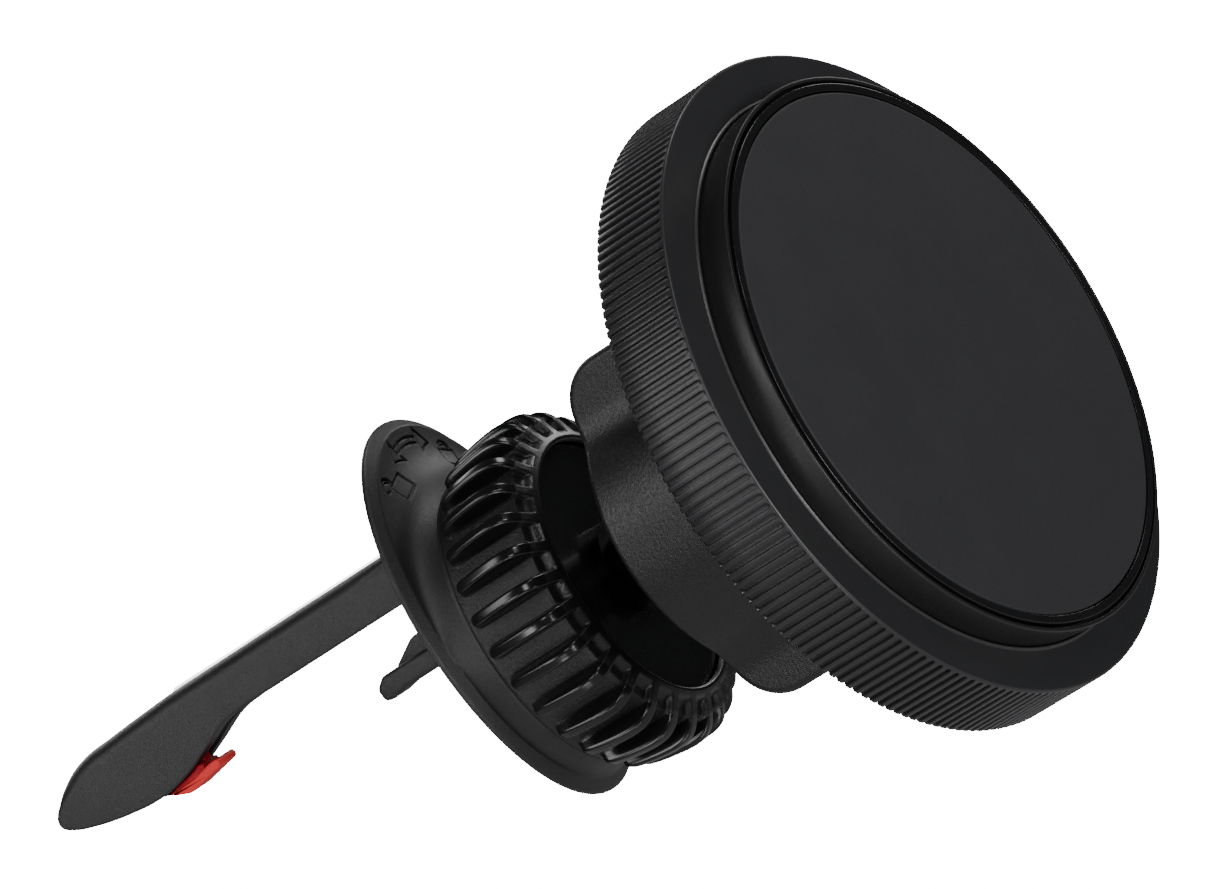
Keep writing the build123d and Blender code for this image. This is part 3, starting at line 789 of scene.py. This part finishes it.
def curve_points(points, count):
    """Points along a smooth curve through the given ones."""
    spline = bpy.data.curves.new("path", "CURVE")
    spline.dimensions = "3D"
    line = spline.splines.new("BEZIER")
    line.bezier_points.add(len(points) - 1)
    for handle, (y, z) in zip(line.bezier_points, points):
        handle.co = (0, y, z)
        handle.handle_left_type = handle.handle_right_type = "AUTO"
    line.resolution_u = count
    holder = bpy.data.objects.new("path", spline)
    bpy.context.scene.collection.objects.link(holder)
    mesh = bpy.data.meshes.new_from_object(holder)
    result = [(v.co.y, v.co.z) for v in mesh.vertices]
    bpy.data.objects.remove(holder)
    bpy.data.curves.remove(spline)
    bpy.data.meshes.remove(mesh)
    return result


LEG_BOTTOM = 8.75
LEG_TOP = 13.9
LEG_FRONT = -1.5
CHEEK_IN = 0.9
CHEEK_OUT = 2.9
CORE_HALF = 0.88
NECK_HALF = 1.9
LIP_HALF = 2.2
FIN_HALF = 1.0
BAR_HALF = 2.4
LUG_FRONT = -0.4


def cheek_outline():
    """Side of the hook: a straight leg that widens into a leaf and ends round."""
    underside = [(28.5, LEG_BOTTOM), (31.4, 8.45), (35.0, 7.1), (38.4, 5.95), (42.0, 5.4), (46.0, 5.7),
                 (50.0, 6.5)]
    end = [(52.8, 7.5), (53.7, 8.2), (53.75, 9.1), (52.9, 10.3), (51.2, 11.8)]
    back = [(48.5, 12.95), (44.0, 13.4), (36.0, 13.85)]
    leg_below = [(LEG_FRONT, LEG_BOTTOM), (10, LEG_BOTTOM), (20, LEG_BOTTOM)]
    leg_above = [(24, LEG_TOP), (12, LEG_TOP), (LEG_FRONT, LEG_TOP)]
    return leg_below + curve_points(underside + end + back, 8) + leg_above


def cheek_rounding(outer_side):
    """The hook's top edge is rounded far more than its underside, its front end hardly at all."""
    inner = 0.08

    def rounding(y, z):
        outer = 0.05 if y < 0 else 0.3 + 1.5 * smoothstep(9.0, 12.6, z) * smoothstep(-1, 3, y)
        return (outer, inner) if outer_side < 0 else (inner, outer)

    return rounding


def even_rounding(radius):
    """The same rounding on both sides, all the way round."""
    return lambda y, z: (radius, radius)


def build_cheeks():
    outline = cheek_outline()
    left = soft_slab("hook_side_left", outline, cheek_rounding(-1), -CHEEK_OUT, -CHEEK_IN)
    right = soft_slab("hook_side_right", outline, cheek_rounding(1), CHEEK_IN, CHEEK_OUT)
    add_piece(left, "hook", ["hook_cheek_left"], "hook")
    add_piece(right, "hook", ["hook_cheek_right"], "hook")


def build_tip():
    """Soft tip: a core between the sides, a neck under them and a wider lip that ends in a tongue."""
    core = rounded([(38.0, 4.5, 0.3), (39.4, 4.25, 0.8), (42.0, 5.2, 0.6), (45.8, 5.9, 0.2), (44.0, 7.4, 0.3),
                    (38.5, 7.7, 0.3), (36.6, 7.0, 0.3), (36.4, 5.6, 0.5)])
    neck = rounded([(36.5, 5.4, 0.2), (36.45, 6.15, 0.3), (37.0, 6.3, 0.2), (38.4, 5.85, 0), (40.2, 5.55, 0),
                    (42.0, 5.33, 0.05), (40.9, 4.85, 0.2), (38.0, 4.8, 0)])
    lip = rounded([(34.65, 5.0, 0.4), (36.6, 4.65, 0.8), (39.2, 4.2, 1.0), (41.6, 5.1, 0.3),
                   (39.6, 5.25, 0.6), (38.0, 5.3, 0.8), (36.5, 5.7, 0.8), (35.6, 5.85, 0.4),
                   (34.65, 5.85, 0.45)])
    core_slab = soft_slab("tip_core", core, even_rounding(0.12), -CORE_HALF, CORE_HALF, 3)
    neck_slab = soft_slab("tip_neck", neck, even_rounding(0.15), -NECK_HALF, NECK_HALF, 3)
    lip_slab = soft_slab("tip_lip", lip, even_rounding(0.2), -LIP_HALF, LIP_HALF, 5)
    tip = join("soft_tip", [lip_slab, neck_slab, core_slab])
    add_piece(tip, "hook", ["hook_tip"], "red")


def build_lug():
    """Support lug: a thin fin on a thicker bar with a rounded foot."""
    fin = rounded([(12.6, 2.4, 0), (LUG_FRONT, 2.4, 0), (LUG_FRONT, 5.6, 0), (9.4, 5.6, 2.2),
                   (12.4, 3.9, 0.3)], 8)
    bar = rounded([(12.2, 1.55, 1.0), (LUG_FRONT, 1.6, 0), (LUG_FRONT, 3.8, 0), (13.9, 3.8, 0.9),
                   (15.1, 2.9, 0.8), (15.0, 1.4, 0.7), (13.9, 1.25, 0.5)], 6)
    fin_slab = soft_slab("lug_fin", fin, even_rounding(0.3), -FIN_HALF, FIN_HALF, 4)
    bar_slab = soft_slab("lug_bar", bar, even_rounding(0.55), -BAR_HALF, BAR_HALF, 5)
    return bar_slab, fin_slab


CUSHION_INSET = 2.1
CUSHION_THICKNESS = 0.78
CUSHION_SLOT_LOW = 1.1


def build_cushion():
    """Oval sheet behind the plate, with one opening for the hook and the lug."""
    half_width = PLATE_HALF_WIDTH - CUSHION_INSET
    half_height = PLATE_HALF_HEIGHT - CUSHION_INSET
    outline = [(half_width * cos(angle), PLATE_RISE + half_height * sin(angle)) for angle in even_angles(160)]
    pad = prism("cushion_sheet", outline, 0, -CUSHION_THICKNESS, nut_point)
    hole = prism("cushion_hole", slot_outline(CUSHION_SLOT_LOW, 0.3), 1, -2, nut_point)
    cut(pad, hole)
    pad.data.shade_smooth()
    pad.data.set_sharp_from_angle(angle=radians(35))
    add_piece(pad, "clip_base", ["rear_cushion"], "cushion")


# ---------------------------------------------------------------- materials of the CAD nodes that stay
NODE_MATERIALS = {
    "housing": ["rear_housing"],
    "stud": ["ball_stud"],
    "brass": ["threaded_insert"],
    "nylon": ["ball_liner"],
    "base": ["slip_washer", "hook_carriage", "socket_cup", "socket_retainer", "usb_tongue"],
    "spine": ["hook_spine", "hook_pins", "friction_spring", "usb_shell", "magnet_yoke"],
    "screw": ["housing_screws"],
    "board": ["usb_board", "circuit_board"],
    "nickel": ["magnet_ring"],
    "copper": ["charging_coil"],
    "ferrite": ["ferrite_disc"],
}


def paint_cad_nodes():
    for material, nodes in NODE_MATERIALS.items():
        for node in nodes:
            paint(frame["nodes"][node], material)


# ---------------------------------------------------------------- camera, light and floor
CAMERA_PLACE = Vector((-0.7077, -0.3561, 0.0111))
CAMERA_AHEAD = Vector((0.9032, 0.4291, 0.0)).normalized()
CAMERA_UP = Vector((0.2325, -0.4893, 0.8405)).normalized()
SENSOR = 36.0
FOCAL_LENGTH = 237.2


def build_camera():
    right = CAMERA_AHEAD.cross(CAMERA_UP).normalized()
    up = right.cross(CAMERA_AHEAD)
    data = bpy.data.cameras.new("camera")
    data.lens = FOCAL_LENGTH
    data.sensor_width = SENSOR
    data.clip_start = 0.05
    camera = bpy.data.objects.new("camera", data)
    rotation = Matrix((right, up, -CAMERA_AHEAD)).transposed().to_4x4()
    camera.matrix_world = Matrix.Translation(CAMERA_PLACE) @ rotation
    bpy.context.scene.collection.objects.link(camera)
    bpy.context.scene.camera = camera
    return right, up


def softbox(name, direction, distance, size, watts, target):
    """Area light at a distance in a direction from the target, facing it."""
    data = bpy.data.lights.new(name, "AREA")
    data.shape = "RECTANGLE"
    data.size, data.size_y = size
    data.energy = watts
    lamp = bpy.data.objects.new(name, data)
    lamp.location = target + direction.normalized() * distance
    lamp.rotation_mode = "QUATERNION"
    lamp.rotation_quaternion = (-direction).to_track_quat("-Z", "Y")
    bpy.context.scene.collection.objects.link(lamp)


def build_lights(right, up):
    """Soft studio light: the front boxes shape the dark surfaces, the others draw the edges."""
    centre = (cad_low + cad_high) / 2
    back = -CAMERA_AHEAD
    softbox("front_right", right * 0.6 + up * 0.2 + back * 0.8, 0.9, (0.3, 0.3), 4.7, centre)
    softbox("front_low", -up * 0.7 + back * 0.7, 0.8, (0.3, 0.3), 5.0, centre)
    softbox("front", -right * 0.25 + up * 0.3 + back, 0.9, (0.3, 0.3), 1.9, centre)
    softbox("left", -right + back * 0.4, 0.8, (0.2, 0.4), 1.4, centre)
    softbox("left_low", -right * 0.65 - up * 0.42 + back * 0.63, 0.8, (0.2, 0.2), 1.0, centre)
    softbox("behind_right", right * 0.36 + up * 0.62 - back * 0.7, 0.8, (0.2, 0.2), 0.7, centre)
    softbox("behind_left", -right * 0.6 + up * 0.3 - back * 0.8, 0.8, (0.3, 0.3), 1.1, centre)
    softbox("top_front", up * 0.8 + back * 0.6, 0.8, (0.12, 0.12), 0.8, centre)
    softbox("top", up - back * 0.3, 0.8, (0.3, 0.2), 1.3, centre)


BACKGROUND = 25.0
AMBIENT = 0.035


def build_world():
    """White surroundings for the camera, and a dim even light for everything else."""
    world = bpy.data.worlds.new("studio")
    world.use_nodes = True
    tree = world.node_tree
    tree.nodes.clear()
    output = tree.nodes.new("ShaderNodeOutputWorld")
    mix = tree.nodes.new("ShaderNodeMixShader")
    seen = tree.nodes.new("ShaderNodeBackground")
    ambient = tree.nodes.new("ShaderNodeBackground")
    path = tree.nodes.new("ShaderNodeLightPath")
    seen.inputs["Color"].default_value = (1, 1, 1, 1)
    seen.inputs["Strength"].default_value = BACKGROUND
    ambient.inputs["Color"].default_value = (0.9, 0.95, 1, 1)
    ambient.inputs["Strength"].default_value = AMBIENT
    tree.links.new(path.outputs["Is Camera Ray"], mix.inputs["Fac"])
    tree.links.new(ambient.outputs["Background"], mix.inputs[1])
    tree.links.new(seen.outputs["Background"], mix.inputs[2])
    tree.links.new(mix.outputs["Shader"], output.inputs["Surface"])
    bpy.context.scene.world = world


FLOOR_SIZE = 2.0
FLOOR_DROP = 0.06
FLOOR_SOLID = 0.1
FLOOR_FADED = 0.38
FLOOR_ALPHA = 0.88


def build_floor():
    """Pale floor well below the object, fading out towards its edge; sizes in metres."""
    mesh = bpy.data.meshes.new("floor")
    height = cad_low.z - FLOOR_DROP
    corners = [(-FLOOR_SIZE, -FLOOR_SIZE), (FLOOR_SIZE, -FLOOR_SIZE), (FLOOR_SIZE, FLOOR_SIZE),
               (-FLOOR_SIZE, FLOOR_SIZE)]
    mesh.from_pydata([(x, y, height) for x, y in corners], [], [(0, 1, 2, 3)])
    floor = bpy.data.objects.new("floor", mesh)
    bpy.context.scene.collection.objects.link(floor)
    material, tree, shader = new_material("pale_floor")
    soft = noise(tree, 3, 2)
    tree.links.new(tint(tree, soft, (0.8, 0.8, 0.81), (0.84, 0.84, 0.85)), shader.inputs["Base Color"])
    shader.inputs["Roughness"].default_value = 0.6
    away = centre_distance(tree, (1, 1, 0))
    tree.links.new(spread(tree, away, FLOOR_ALPHA, 0, FLOOR_SOLID, FLOOR_FADED), shader.inputs["Alpha"])
    mesh.materials.append(material)


# ---------------------------------------------------------------- build everything
build_touch_pad()
build_bezel()
build_front_housing()
build_ring()
build_nut()
build_cap()
build_plate()
build_cheeks()
build_tip()
build_cushion()
paint_cad_nodes()
camera_right, camera_up = build_camera()
build_lights(camera_right, camera_up)
build_world()
build_floor()
